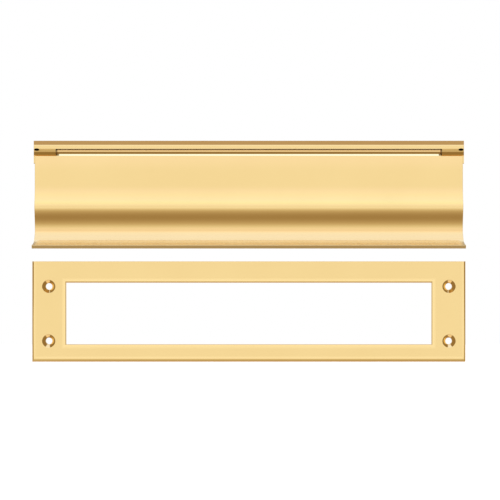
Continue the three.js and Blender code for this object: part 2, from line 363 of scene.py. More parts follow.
def header_brass():
    """Polished brass, left satin in the groove over the flap's barrel, with a pale tone painted there as painted light
    in that crease.
    """
    m, col, lines, r = brass_nodes("brass_header")
    sep = m.new("ShaderNodeSeparateXYZ")
    m.to(m.co.outputs["Object"], sep.inputs[0])
    x, z = m.math("ABSOLUTE", sep.outputs[0]), sep.outputs[2]
    groove = m.math("MULTIPLY", m.remap(z, 0.03850, 0.03838, 0, 1), m.remap(x, BLOCK_IN * MM, (BLOCK_IN - 0.3) * MM, 0, 1))
    # painted light: the groove's base colour is lifted pale to lighten the dark crease; its roughness is raised to
    # satin
    m.to(m.mix(groove, col, (0.98, 0.94, 0.82)), m.b.inputs["Base Color"])
    m.to(m.math("MAXIMUM", r, m.math("MULTIPLY", groove, 0.16)), m.b.inputs["Roughness"])
    m.bump(lines, 0.02, 0.00002)
    return m.mat


def frame_brass():
    """Polished brass with a painted highlight, a paler band, along its edges over the last few millimetres."""
    m, col, lines, r = brass_nodes("brass_frame")
    sep = m.new("ShaderNodeSeparateXYZ")
    m.to(m.co.outputs["Object"], sep.inputs[0])
    x = m.math("ABSOLUTE", sep.outputs[0])
    z = sep.outputs[2]
    hw, band = F_HI[0] * MM, 0.0034
    outer_x = m.remap(x, hw - band, hw - 0.0016, 0, 1)
    outer_z = m.remap(z, F_LO[2] * MM + 0.0047, F_LO[2] * MM + 0.0031, 0, 1)
    # the opening's edges
    ow, zt, zb = OPEN_W * MM, OPEN_TOP * MM, OPEN_BOTTOM * MM
    in_x = m.math("SUBTRACT", 1.0, m.remap(x, ow + 0.0016, ow + band, 0, 1))
    in_zt = m.math("SUBTRACT", 1.0, m.remap(z, zt + 0.0022, zt + 0.0038, 0, 1))
    in_zb = m.remap(z, zb - band, zb - 0.0016, 0, 1)
    inner = m.math("MINIMUM", in_x, m.math("MINIMUM", in_zt, in_zb))
    # painted highlight: a paler band along the frame's outer edges and round the opening
    painted_highlight_mask = m.math("MAXIMUM", inner, m.math("MAXIMUM", outer_x, outer_z), clamp=True)
    tone = m.mix(painted_highlight_mask, (1, 1, 1), (1.085, 1.105, 1.15))
    out = m.mix(1.0, col, tone, "MULTIPLY")
    m.to(out, m.b.inputs["Base Color"])
    m.bump(lines, 0.02, 0.00002)
    return m.mat


def flap_brass():
    """Polished brass with painted highlights along the leaf's top edge and the lip's tip, a paler painted sheen over
    the satin finger lip, painted shade on the barrel and a painted shadow at the leaf's top corners.
    """
    m, col, lines, r = brass_nodes("brass_flap")
    sep = m.new("ShaderNodeSeparateXYZ")
    m.to(m.co.outputs["Object"], sep.inputs[0])
    x, z = m.math("ABSOLUTE", sep.outputs[0]), sep.outputs[2]
    uneven = m.remap(m.noise(90.0, 2.0, 0.5), 0.3, 0.7, 0.85, 1.0)
    lip = m.math("MULTIPLY", m.remap(z, -0.0306, -0.0330, 0, 1), uneven)
    tip = m.remap(z, -0.0349, -0.0352, 0, 1)
    edge = m.math("MULTIPLY", m.remap(z, 0.0331, 0.0334, 0, 1), m.remap(z, 0.0346, 0.03465, 1, 0))
    x_in = (BARREL_W - 1.7) * MM
    beside = m.math("MULTIPLY", m.remap(x, x_in, x_in + 0.0004, 0, 1), m.remap(z, 0.0330, 0.0334, 0, 1))
    barrel = m.remap(z, 0.03462, 0.0348, 0, 1)
    under = m.remap(z, 0.0352, 0.0357, 1, 0)
    groove = m.remap(z, 0.0374, 0.0379, 0, 1)
    # small painted reflection tints fitted to the photograph: paler over one band of the leaf, warmer on another
    pale = m.math("MINIMUM", m.remap(z, -0.0052, -0.0030, 0, 1), m.remap(z, 0.0004, -0.0018, 0, 1))
    warm = m.math("MINIMUM", m.remap(z, -0.0264, -0.0242, 0, 1), m.remap(z, -0.0210, -0.0228, 0, 1))
    col = m.mix(m.math("MULTIPLY", pale, uneven), col, m.mix(1.0, col, (1.0, 1.055, 1.0), "MULTIPLY"))
    col = m.mix(m.math("MULTIPLY", warm, uneven), col, m.mix(1.0, col, (1.0, 0.925, 0.93), "MULTIPLY"))
    # painted sheen: the finger lip's paler tone, on top of its satin roughness
    col = m.mix(lip, col, (0.94, 0.88, 0.68))
    r = m.math("ADD", r, m.math("MULTIPLY", m.remap(z, -0.0308, -0.0335, 0, 1), 0.26))
    # painted highlight along the lip's tip, which is also left satin
    col = m.mix(tip, col, (1.0, 0.84, 0.50))
    r = m.math("MAXIMUM", r, m.math("MULTIPLY", tip, 0.34))
    # painted highlight along the leaf's top edge
    col = m.mix(edge, col, (1.0, 0.93, 0.52))
    # painted shade on the barrel under the header, darker still on its underside
    col = m.mix(barrel, col, m.mix(under, (0.745, 0.50, 0.205), (0.53, 0.36, 0.14)))
    # where the mop can't reach, under the header's edge, the barrel stays satin; its paler colour there is painted
    # light in the crease
    col = m.mix(groove, col, (0.96, 0.86, 0.60))
    r = m.math("MAXIMUM", r, m.math("MULTIPLY", groove, 0.38))
    m.to(r, m.b.inputs["Roughness"])
    # painted shadow in the leaf's top corners beside the end blocks
    shade = m.math("MULTIPLY", beside, m.remap(z, 0.0346, 0.0350, 1, 0))
    col = m.mix(shade, col, (0.30, 0.20, 0.075))
    m.to(col, m.b.inputs["Base Color"])
    m.bump(lines, 0.02, 0.00002)
    return m.mat


def dull_brass():
    """Back faces and turned posts: uncoated brass, duller and warmer, with fine turning marks."""
    m = Nodes("brass_dull")
    b = m.b
    b.inputs["Metallic"].default_value = 1.0
    cloud = m.noise(60.0, 4.0, 0.6)
    blot = m.noise(300.0, 3.0, 0.6)
    col = m.mix(m.remap(cloud, 0.3, 0.7, 0, 1), (0.50, 0.33, 0.13), (0.72, 0.52, 0.23))
    col = m.mix(m.remap(blot, 0.62, 0.75, 0, 0.35), col, (0.30, 0.19, 0.08))
    m.to(col, b.inputs["Base Color"])
    m.to(m.remap(cloud, 0.3, 0.7, 0.26, 0.42), b.inputs["Roughness"])
    grain = m.noise(1.0, 5.0, 0.65, stretch=(60.0, 1500.0, 1500.0))
    m.bump(grain, 0.12, 0.00005)
    return m.mat


def steel(name, tone, rough, zinc=False):
    m = Nodes(name)
    b = m.b
    b.inputs["Metallic"].default_value = 1.0
    cloud = m.noise(180.0, 3.0, 0.6)
    dark = tuple(c * 0.82 for c in tone)
    col = m.mix(m.remap(cloud, 0.3, 0.7, 0, 1), dark, tone)
    if zinc:
        hue = m.noise(70.0, 2.0, 0.5)
        col = m.mix(m.remap(hue, 0.45, 0.7, 0, 0.25), col, (0.62, 0.60, 0.46))
    m.to(col, b.inputs["Base Color"])
    m.to(m.remap(cloud, 0.3, 0.7, rough - 0.05, rough + 0.07), b.inputs["Roughness"])
    grain = m.noise(1.0, 4.0, 0.6, stretch=(40.0, 2500.0, 2500.0))
    m.bump(grain, 0.08, 0.00003)
    return m.mat


def rubber():
    m = Nodes("rubber_black")
    b = m.b
    cloud = m.noise(500.0, 4.0, 0.6)
    m.to(m.mix(cloud, (0.012, 0.012, 0.013), (0.035, 0.034, 0.033)), b.inputs["Base Color"])
    m.to(m.remap(cloud, 0.3, 0.7, 0.55, 0.75), b.inputs["Roughness"])
    m.bump(m.noise(2600.0, 2.0, 0.6), 0.25, 0.00004)
    return m.mat


def painted_shade_recess():
    """The narrow recesses at the header's ends: never polished, coloured near-black as painted shade inside the deep
    holes.
    """
    m = Nodes("recess_painted_shade")
    cloud = m.noise(900.0, 3.0, 0.6)
    m.to(m.mix(cloud, (0.004, 0.003, 0.001), (0.014, 0.009, 0.003)), m.b.inputs["Base Color"])
    m.to(m.remap(cloud, 0.3, 0.7, 0.7, 0.9), m.b.inputs["Roughness"])
    m.b.inputs["Specular IOR Level"].default_value = 0.1
    return m.mat


# ------------------------------------------------------------------ flap
# face angle of the leaf's front along its height: (distance down the face, degrees up)
LEAF_ANGLE = [
    (0.0, 2.6), (2.3, 2.4), (5.37, 1.7), (8.44, 0.8), (11.5, 0.15), (16.09, 0.0), (20.68, 0.2),
    (22.98, 1.2), (25.28, 3.2), (28.36, 8.0), (30.71, 11.5), (33.08, 13.0), (34.65, 12.0),
    (36.22, 8.0), (36.99, 5.0), (37.75, 1.5), (38.52, -2.5), (40.05, -6.3), (41.58, -8.4),
    (43.12, -10.0), (44.67, -11.0), (46.22, -11.3), (47.77, -11.0), (49.32, -10.0),
    (50.86, -8.6), (52.4, -7.0), (53.94, -5.4), (55.47, -3.1), (56.23, -1.0), (57.0, 3.5),
    (58.58, 20.0), (61.15, 31.0), (63.01, 38.0), (65.07, 46.0), (66.22, 51.0), (67.54, 59.5),
    (69.17, 68.5), (71.38, 76.0), (74.47, 81.0), (77.0, 82.5)]
LEAF_T = 2.2
LEAF_START = (9.50, 32.26)
EDGE_TOP = 34.6
BARREL_R = 2.38


def leaf_front(step=0.25):
    s_end = LEAF_ANGLE[-1][0]
    fine = np.arange(0, s_end + 1e-6, 0.05)
    a = np.interp(fine, [t[0] for t in LEAF_ANGLE], [t[1] for t in LEAF_ANGLE])
    k = 15
    pad = np.concatenate([np.full(k, a[0]), a, np.full(k, a[-1])])
    a = np.convolve(pad, np.ones(2 * k + 1) / (2 * k + 1), "valid")
    r = np.radians(a)
    d = LEAF_START[0] + np.concatenate([[0], np.cumsum((np.sin(r[1:]) + np.sin(r[:-1])) / 2 * 0.05)])
    z = LEAF_START[1] - np.concatenate([[0], np.cumsum((np.cos(r[1:]) + np.cos(r[:-1])) / 2 * 0.05)])
    every = int(round(step / 0.05))
    idx = list(range(0, len(fine), every))
    if idx[-1] != len(fine) - 1:
        idx.append(len(fine) - 1)
    return [(float(d[i]), float(z[i]), float(r[i])) for i in idx]


def build_flap(mats):
    front = leaf_front()
    rear = [(d - math.cos(a) * LEAF_T, z - math.sin(a) * LEAF_T) for d, z, a in front]
    # the lip ends in a plain edge that leans back under it
    d1, z1, a1 = front[-1]
    tip = -L_LO[1] - 0.03
    rear = rear[:-4]
    lip = rounded([(d1 - 0.6, z1 + 0.6 * math.tan(math.pi / 2 - a1)), (tip, z1 - 0.08), (tip - 0.97, L_LO[2] + 0.01),
                   rear[-1]], [0, 0.2, 0.2, 0], 5)[1:-1]
    top = rounded([(8.0, EDGE_TOP), (8.72, EDGE_TOP), (9.45, 33.25), (front[2][0], front[2][1])], [0, 0.22, 0.4, 0], 5)[1:-1]
    face = [(d, z) for d, z, _ in front if z < 32.9 and d < tip - 0.4]
    out = [(7.2, EDGE_TOP)] + top + face + lip + rear[::-1]
    o = sweep_x("flap_leaf", out, LEAF_W, 0.12, 3)
    # the leaf's top corners are cut away round the end blocks
    for s in (-1, 1):
        x0, x1 = sorted((s * BARREL_W, s * (LEAF_W + 5)))
        boolean(o, box("cut", x0, x1, -14, 0, 33.0, 46))
        x0, x1 = sorted((s * (BARREL_W - 1.3), s * (BARREL_W + 1)))
        boolean(o, box("cut", x0, x1, -14, -8.75, 33.6, 46))
    e = 0.3
    barrel = lathe("barrel", [(0, -BARREL_W), (BARREL_R - e, -BARREL_W), (BARREL_R, -BARREL_W + e),
                              (BARREL_R, BARREL_W - e), (BARREL_R - e, BARREL_W), (0, BARREL_W)],
                   "X", (0, -PIN_D, PIN_Z), 128)
    boolean(o, barrel, "UNION")
    bore = PIN_R + 0.3
    for s in (-1, 1):
        a, b = sorted((s * (BARREL_W - 24), s * 200))
        boolean(o, lathe("pocket", [(0, a), (1.95, a), (1.95, b), (0, b)], "X", (0, -PIN_D, PIN_Z), 48))
        a, b = sorted((s * (BARREL_W - 28), s * (BARREL_W - 23)))
        boolean(o, lathe("leg", [(0, a), (0.45, a), (0.45, b), (0, b)], "X", (0, -PIN_D + 1.5, PIN_Z), 24))
    boolean(o, lathe("bore", [(0, -200), (bore, -200), (bore, 200), (0, 200)], "X", (0, -PIN_D, PIN_Z), 48))
    o.data.materials.clear()
    o.data.materials.append(mats["leaf"])
    smooth(o, 30)
    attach(o, "flap"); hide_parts("flap")
    return o


# ------------------------------------------------------------------ header
END_DRAFT = 0.1656


def build_header(mats):
    back = PLATE_T + 0.3
    top = H_HI[2]
    groove = arc(PIN_D, PIN_Z, 2.9, 45, 158, 24)
    rail = rounded([(back, top), (HEADER_FRONT, 41.34), (HEADER_FRONT, 38.32), (9.4, 38.32)], [0.04, 0.8, 0.16, 0], 8)[:-1]
    rail = rail + groove
    o = sweep_x("header_rail", rail, HEAD_W + 0.5, 0)
    blk = rounded([(back, 40), (10.0, 40), (10.0, 38.2), (9.64, 36.05), (8.7, 33.8), (8.2, 33.36), (7.0, 33.3),
                   (6.9, 32.0), (6.7, H_LO[2]), (back, H_LO[2])], [0, 0, 0, 0.4, 0.15, 0.2, 0.2, 0.3, 0.4, 0.2], 5)
    for s in (-1, 1):
        x0, x1 = sorted((s * BLOCK_IN, s * HEAD_W))
        b = sweep_x("block", blk, (x1 - x0) / 2 + 0.25, 0)
        b.location.x = ((x0 + x1) / 2 + s * 0.25) * MM
        b.data.transform(Matrix.Translation((b.location.x, 0, 0)))
        b.location.x = 0
        boolean(o, b, "UNION")
    # drafted end faces, their edges just broken
    front_w = HEAD_W - (HEADER_FRONT - back) * END_DRAFT
    for s in (-1, 1):
        for turn, out in ((math.atan(END_DRAFT), 0.0), (math.atan(END_DRAFT) + math.radians(45), -0.12)):
            c = box("end", 0, 20, -60, 60, -20, 80)
            if s < 0:
                c.data.transform(Matrix.Translation((-20 * MM, 0, 0)))
            c.data.transform(Matrix.Rotation(-s * turn, 4, "Z"))
            c.data.transform(Matrix.Translation((s * (front_w + out) * MM, -HEADER_FRONT * MM, 0)))
            boolean(o, c)
    boolean(o, lathe("bore", [(0, -200), (PIN_R + 0.3, -200), (PIN_R + 0.3, 200), (0, 200)], "X",
                     (0, -PIN_D, PIN_Z), 48))
    for s in (-1, 1):
        a, b = sorted((s * 146.0, s * 153.0))
        boolean(o, lathe("leg", [(0, a), (0.5, a), (0.5, b), (0, b)], "X", (0, -PIN_D + 1.5, PIN_Z), 24))
    o.data.materials.clear()
    o.data.materials.append(mats["header"])
    o.data.materials.append(mats["recess"])
    for s in (-1, 1):
        # the recess walls take the near-black painted-shade material
        c = lathe("recess", [(0, -14), (1, -14), (1, -8.6), (0, -8.6)], "Y", (0, 0, 0), 32)
        c.data.transform(Matrix.Diagonal((2.0, 1, 0.92, 1)))
        c.data.transform(Matrix.Translation((s * 162.2 * MM, 0, 37.85 * MM)))
        c.data.materials.append(mats["header"])
        c.data.materials.append(mats["recess"])
        for p in c.data.polygons:
            p.material_index = 1
        boolean(o, c)
        boolean(o, lathe("set", [(0, -(PIN_D - 0.5)), (1.75, -(PIN_D - 0.5)), (1.75, 0), (0, 0)], "Y",
                         (s * 157.5, 0, PIN_Z), 32))
    for i in (1, 2, 3, 4):
        lo, hi = box_mm(f"header_screw_{i}")
        boolean(o, lathe("hole", [(0, -7.4), (1.75, -7.4), (1.75, 0), (0, 0)], "Y",
                         ((lo[0] + hi[0]) / 2, 0, (lo[2] + hi[2]) / 2), 32))
    smooth(o, 30)
    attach(o, "root"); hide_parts("hinge_header")
    return o


# ------------------------------------------------------------------ inner frame
OPEN_W = 140.8
OPEN_TOP = F_HI[2] - 16.45
OPEN_BOTTOM = OPEN_TOP - 47.5
HOLE_X = 154.0
HOLE_Z = 21.0
HOLES_MID = OPEN_TOP - 23.9
SINK = 1.9


def bevel_by(o, weights, width, segments):
    """Bevel by edge weight: weights(mid) gives the weight of each edge whose faces meet at 28 degrees or more."""
    me = o.data
    attr = me.attributes.get("bevel_weight_edge") or me.attributes.new("bevel_weight_edge", "FLOAT", "EDGE")
    vals = np.zeros(len(me.edges), np.float32)
    bm = bmesh.new(); bm.from_mesh(me); bm.edges.ensure_lookup_table()
    for i, e in enumerate(bm.edges):
        if len(e.link_faces) != 2:
            continue
        ang = e.calc_face_angle(0.0)
        if ang < math.radians(28):
            continue
        mid = (e.verts[0].co + e.verts[1].co) / 2 / MM
        vals[i] = weights(mid)
    bm.free()
    attr.data.foreach_set("value", vals)
    m = o.modifiers.new("bev", "BEVEL")
    m.limit_method = "WEIGHT"
    m.width = width * MM
    m.segments = segments
    m.profile = 0.5
    m.use_clamp_overlap = False
    bake(o)


def build_frame(mats):
    t = -F_LO[1]
    w, z0, z1 = F_HI[0], F_LO[2], F_HI[2]
    o = box("inner_frame", -w, w, -t, 0, z0, z1)
    boolean(o, box("cut", -OPEN_W, OPEN_W, -t - 5, 5, OPEN_BOTTOM, OPEN_TOP))
    R = 1.5

    def weight(mid):
        def on(v, at):
            return abs(v - at) < 0.01
        if on(mid.y, -t):      # front edges, each dressed its own way
            if on(abs(mid.x), w):
                return 1.2
            if on(mid.z, z0):
                return 0.7 / R
            if on(mid.z, z1):
                return 0.06 / R
            if on(mid.z, OPEN_TOP):
                return 1.05 / R
            return 0.42 / R
        if on(mid.y, 0):
            return 0.25 / R
        return 0.2 / R         # the outer and inner corners
    bevel_by(o, weight, R, 7)
    # the lower edge is dressed back in a long, soft curve
    edge = [(t + 2, z0 - 2), (t + 2, z0 + 2.8), (t, z0 + 2.8), (t - 0.035, z0 + 1.9), (t - 0.14, z0 + 1.0)]
    edge += [(t - 0.14 - 0.74 * (1 - math.cos(a)), z0 + 1.0 * (1 - math.sin(a))) for a in np.linspace(0, math.pi / 2, 11)[1:]]
    edge += [(t - 0.88, z0 - 2)]
    boolean(o, sweep_x("cut", edge, w + 5, 0))
    cz = HOLES_MID
    for sx in (-1, 1):
        for sz in (-1, 1):
            r_out, r_in = 4.95, 2.6
            deep = -t + SINK
            prof = [(0, -t - 1.0), (r_out + 1.15, -t - 1.0), (r_out + 0.26, -t - 0.01), (r_out + 0.1, -t + 0.03),
                    (r_out - 0.05, -t + 0.12), (r_in + 0.06, deep), (r_in, deep + 0.1), (r_in, 3), (0, 3)]
            boolean(o, lathe("sink", prof, "Y", (sx * HOLE_X, 0, cz + sz * HOLE_Z), 96))
    o.data.materials.clear()
    o.data.materials.append(mats["frame"])
    smooth(o, 26)
    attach(o, "root"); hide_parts("interior_frame")
    return o


# ------------------------------------------------------------------ hardware
def finish_piece(o, mat, node, angle=32, body="root"):
    if not isinstance(mat, (list, tuple)):
        mat = [mat]
    o.data.materials.clear()
    for m in mat:
        o.data.materials.append(m)
    smooth(o, angle)
    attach(o, body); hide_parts(node)
    return o


def centre(node):
    lo, hi = box_mm(node)
    return [(a + b) / 2 for a, b in zip(lo, hi)]


def build_backplate(mats):
    lo, hi = P_LO, P_HI
    t = PLATE_T
    aw, ah = APERTURE_W, APERTURE_H
    o = box("plate_fine", lo[0], hi[0], -t, 0, lo[2], hi[2])
    boolean(o, box("cut", -aw, aw, -t - 5, 5, -ah, ah))

    def weight(mid):
        if abs(mid.y + t) < 0.01 or abs(mid.y) < 0.01:
            return 1.0
        return 1.0
    bevel_by(o, weight, 0.35, 3)

    def hole(x, z, r, sink_r=None):
        c = 0.18
        p = [(0, -t - 1), (r + c + 1, -t - 1), (r + c, -t - 0.0), (r, -t + c)]
        if sink_r:
            p += [(r, -1.75), (sink_r, -0.32), (sink_r + 0.08, -0.1), (sink_r + 0.9, 0.8), (0, 0.8)]
        else:
            p += [(r, -c), (r + c, 0.0), (r + c + 1, 1), (0, 1)]
        boolean(o, lathe("hole", p, "Y", (x, 0, z), 48))
    for n in ("upper_left", "upper_right", "lower_left", "lower_right"):
        c = centre("fixing_post_" + n)
        hole(c[0], c[2], 2.2)
    for i in (1, 2, 3, 4):
        c = centre(f"header_screw_{i}")
        hole(c[0], c[2], 1.8, 2.95)
    for n in ("left", "right"):
        c = centre("flap_bumper_" + n)
        hole(c[0], c[2], 1.3)
    o.data.materials.clear()
    o.data.materials.append(mats["brass"])
    o.data.materials.append(mats["dull"])
    for p in o.data.polygons:
        if p.normal.y > 0.9:
            p.material_index = 1
    smooth(o, 28)
    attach(o, "root"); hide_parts("backplate")


def thread(name, minor, major, y0, y1, pitch, segments=40, per=8, taper=1.2, tip=0.55):
    """Solid screw thread along Y from y0 (tip) to y1, with a tapered start."""
    n = max(2, int(round((y1 - y0) / pitch * per)))
    verts, faces = [(0.0, y0, 0.0)], []
    for j in range(n + 1):
        y = y0 + (y1 - y0) * j / n
        for i in range(segments):
            a = 2 * math.pi * i / segments
            ph = (y / pitch - i / segments) % 1.0
            h = max(0.0, min(1.0, 1.25 - abs(ph - 0.5) * 4 + 0.5)) if abs(ph - 0.5) < 0.45 else 0.0
            r = minor + (major - minor) * h
            k = min(1.0, tip + (1 - tip) * (y - y0) / taper)
            k2 = min(1.0, 0.75 + 0.25 * (y1 - y) / 0.6)
            r = min(r, major * k, minor + (major - minor) * max(0.0, (k2 - 0.75) * 4))
            verts.append((r * math.cos(a), y, r * math.sin(a)))
    for j in range(n):
        for i in range(segments):
            a, b = 1 + j * segments + i, 1 + j * segments + (i + 1) % segments
            faces.append((a, b, b + segments, a + segments))
    for i in range(segments):
        faces.append((0, 1 + (i + 1) % segments, 1 + i))
    last = 1 + n * segments
    verts.append((0.0, y1, 0.0))
    for i in range(segments):
        faces.append((last + i, last + (i + 1) % segments, len(verts) - 1))
    return verts, faces


def place(verts, at):
    return [(x + at[0], y, z + at[1]) for x, y, z in verts]


def slot_box(x, z, w, length, y0, y1, turn):
    c = box("slot", -length, length, y0, y1, -w / 2, w / 2)
    c.data.transform(Matrix.Rotation(math.radians(turn), 4, "Y"))
    c.data.transform(Matrix.Translation((x * MM, 0, z * MM)))
    return c


def build_fixings(mats):
    turns = {"upper_left": 12, "upper_right": -38, "lower_left": 71, "lower_right": 34}
    for n, turn in turns.items():
        x, _, z = centre("fixing_post_" + n)
        lo, hi = box_mm("fixing_post_" + n)
        y0, y1, r = lo[1], hi[1], (hi[0] - lo[0]) / 2
        p = [(0, y0), (1.72, y0), (1.96, y0 + 0.25), (1.96, 0.3), (r - 0.35, 0.3), (r - 0.05, 0.55), (r - 0.05, 2.0)]
        for k in range(4):      # turned lines next to the shoulder
            q = 2.2 + k * 0.9
            p += [(r - 0.05, q), (r - 0.35, q + 0.2), (r - 0.35, q + 0.45), (r - 0.05, q + 0.65)]
        p += [(r - 0.05, y1 - 3.0), (r - 0.4, y1 - 2.75), (r - 0.4, y1 - 2.2), (r - 0.05, y1 - 1.95),
              (r - 0.05, y1 - 0.6), (r - 0.2, y1 - 0.35), (r - 0.55, y1 - 0.02), (2.75, y1 - 0.02), (2.46, y1 - 0.3)]
        q = y1 - 0.3
        while q > 11.5:         # thread in the bore
            p += [(2.46, q - 0.1), (2.24, q - 0.35), (2.24, q - 0.45), (2.46, q - 0.7)]
            q -= 0.8
        p += [(2.2, 9.5), (0, 8.3)]
        o = lathe("post_" + n, p, "Y", (x, 0, z), 72)
        finish_piece(o, mats["dull"], "fixing_post_" + n, 30)

        lo, hi = box_mm("fixing_screw_" + n)
        x, z = (lo[0] + hi[0]) / 2, (lo[2] + hi[2]) / 2
        rh, top = (hi[0] - lo[0]) / 2, hi[1]
        v, f = thread("t", 1.72, 2.1, lo[1], 37.8, 0.8, 44)
        shank = mesh_from("screw_" + n, place(v, (x, z)), f)
        rise = 1.0
        head = [(0, 37.0), (1.9, 37.0), (2.05, top - rise - 2.4), (rh - 0.12, top - rise - 0.35), (rh - 0.02, top - rise - 0.22),
                (rh - 0.02, top - rise - 0.05)]
        for k in range(1, 15):  # low dome
            a = k / 14
            head.append(((rh - 0.02) * math.cos(a * math.pi / 2) ** 0.92 if k < 14 else 0.0,
                         top - rise - 0.02 + (rise - 0.02) * math.sin(a * math.pi / 2)))
        h = lathe("head", head, "Y", (x, 0, z), 72)
        boolean(shank, h, "UNION")
        boolean(shank, slot_box(x, z, 1.0, 6.5, top - 1.55, top + 1, turn))
        finish_piece(shank, mats["brass"], "fixing_screw_" + n, 28)


def build_header_screws(mats):
    for i, turn in zip((1, 2, 3, 4), (8, 52, 33, 77)):
        lo, hi = box_mm(f"header_screw_{i}")
        x, z = (lo[0] + hi[0]) / 2, (lo[2] + hi[2]) / 2
        rh, top = (hi[0] - lo[0]) / 2, hi[1]
        v, f = thread("t", 1.12, 1.4, lo[1], -1.9, 0.5, 36, taper=0.8)
        o = mesh_from(f"joining_screw_{i}", place(v, (x, z)), f)
        head = [(0, -2.3), (1.25, -2.3), (1.38, -1.75), (rh - 0.1, top - 0.34), (rh - 0.02, top - 0.25),
                (rh - 0.02, top - 0.06), (rh - 0.12, top), (0, top)]
        boolean(o, lathe("head", head, "Y", (x, 0, z), 56), "UNION")
        for k in (0, 90):
            c = box("cross", -1.55, 1.55, top - 1.25, top + 0.5, -0.22, 0.22)
            for q in c.data.vertices:      # the cross recess narrows towards its bottom
                if q.co.y < (top - 1) * MM:
                    q.co.x *= 0.45
                    q.co.z *= 0.75
            c.data.transform(Matrix.Rotation(math.radians(turn + k), 4, "Y"))
            c.data.transform(Matrix.Translation((x * MM, 0, z * MM)))
            boolean(o, c)
        finish_piece(o, mats["zinc"], f"header_screw_{i}", 28)


def build_hinge(mats):
    w = PIN_HI[0]
    r = PIN_R
    p = [(0, -w), (r - 0.3, -w), (r - 0.02, -w + 0.35)]
    for s in range(-3, 4):
        p.append((r - 0.02, s * 40.0))
    p += [(r - 0.02, w - 0.35), (r - 0.3, w), (0, w)]
    o = lathe("pin_fine", p, "X", (0, -PIN_D, PIN_Z), 48)
    finish_piece(o, mats["steel"], "hinge_pin", 30)

    for side, s in (("left", -1), ("right", 1)):
        lo, hi = box_mm("hinge_washer_" + side)
        a, b = lo[0], hi[0]
        ro = (hi[2] - lo[2]) / 2 - 0.02
        c = 0.1
        ri = 1.87
        prof = [(ri, a + c), (ri + c, a), (ro - c, a), (ro, a + c), (ro, b - c), (ro - c, b), (ri + c, b), (ri, b - c)]
        o = ring("washer_" + side, prof, (0, -PIN_D, PIN_Z))
        finish_piece(o, mats["dull"], "hinge_washer_" + side, 40)

        lo, hi = box_mm("pin_set_screw_" + side)
        x, z = (lo[0] + hi[0]) / 2, (lo[2] + hi[2]) / 2
        v, f = thread("t", 1.15, 1.4, lo[1], hi[1], 0.45, 36, taper=0.4, tip=0.8)
        o = mesh_from("grub_" + side, place(v, (x, z)), f)
        boolean(o, slot_box(x, z, 0.42, 3.0, hi[1] - 0.6, hi[1] + 1, 25 * s))
        finish_piece(o, mats["zinc"], "pin_set_screw_" + side, 28)

        # torsion spring: a leg in the end block, nine turns round the pin, a leg in the barrel
        lo, hi = box_mm("return_spring_" + side)
        x0, x1 = (hi[0], lo[0]) if s > 0 else (lo[0], hi[0])
        rw, rc, turns, leg = 0.215, 1.5, 9, 4.2
        path = [(x0 - s * 0.01, -rc, 0.0)]
        n = turns * 36
        for k in range(9):
            path.append((x0 - s * leg * (k + 1) / 10, -rc, 0.0))
        for k in range(n + 1):
            a = 2 * math.pi * k / 36
            path.append((x0 - s * (leg + 22.0 * k / n), -rc * math.cos(a), rc * math.sin(a) * s))
        end = path[-1]
        rest = abs(x1 - end[0])
        for k in range(1, 10):
            path.append((end[0] - s * (rest - 0.01) * k / 9, end[1], end[2]))
        o = tube("spring_" + side, [(px, -PIN_D - py, PIN_Z + pz) for px, py, pz in path], rw, 12)
        o.data.materials.clear()
        o.data.materials.append(mats["steel"])
        for q in o.data.polygons:
            q.use_smooth = True
        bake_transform(o)
        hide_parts("return_spring_" + side)

        lo, hi = box_mm("flap_bumper_" + side)
        x, z = (lo[0] + hi[0]) / 2, (lo[2] + hi[2]) / 2
        y0, y1, r = lo[1], hi[1], (hi[0] - lo[0]) / 2 - 0.02
        prof = [(0, y0 + 0.02)]
        prof += [(r - 1.1 + 1.1 * math.sin(a), y0 + 1.12 - 1.1 * math.cos(a)) for a in np.linspace(0, math.pi / 2, 9)]
        prof += [(r - 0.4 + 0.4 * math.cos(a), y0 + 3.0 + 0.38 * math.sin(a)) for a in np.linspace(0, math.pi / 2, 6)]
        prof += [(1.05, y0 + 3.38), (1.05, y1 - 0.4), (0.8, y1), (0, y1)]
        o = lathe("pad_" + side, prof, "Y", (x, 0, z), 56)
        finish_piece(o, mats["rubber"], "flap_bumper_" + side, 40)


def ring(name, prof, at, segments=64):
    """Closed profile (radius, x) turned about the X axis through at."""
    n = len(prof)
    verts, faces = [], []
    for i in range(segments):
        a = 2 * math.pi * i / segments
        verts += [(t + at[0], r * math.cos(a) + at[1], r * math.sin(a) + at[2]) for r, t in prof]
    for i in range(segments):
        j = (i + 1) % segments
        for k in range(n):
            m = (k + 1) % n
            faces.append((i * n + k, i * n + m, j * n + m, j * n + k))
    return mesh_from(name, verts, faces)


def tube(name, path, r, segments):
    pts = [Vector(p) for p in path]
    verts, faces = [], []
    up = Vector((0, 0, 1))
    prev = None
    for i, p in enumerate(pts):
        t = (pts[min(i + 1, len(pts) - 1)] - pts[max(i - 1, 0)]).normalized()
        if prev is None:
            n = t.cross(up).normalized()
        else:
            n = (prev - t * prev.dot(t)).normalized()
        prev = n
        b = t.cross(n)
        for k in range(segments):
            a = 2 * math.pi * k / segments
            v = p + n * (r * math.cos(a)) + b * (r * math.sin(a))
            verts.append(tuple(v))
    m = len(pts)
    for i in range(m - 1):
        for k in range(segments):
            k2 = (k + 1) % segments
            faces.append((i * segments + k, i * segments + k2, (i + 1) * segments + k2, (i + 1) * segments + k))
    faces.append(tuple(range(segments))[::-1])
    faces.append(tuple(range((m - 1) * segments, m * segments)))
    return mesh_from(name, verts, faces)


APERTURE_W, APERTURE_H = 139.7, 23.8


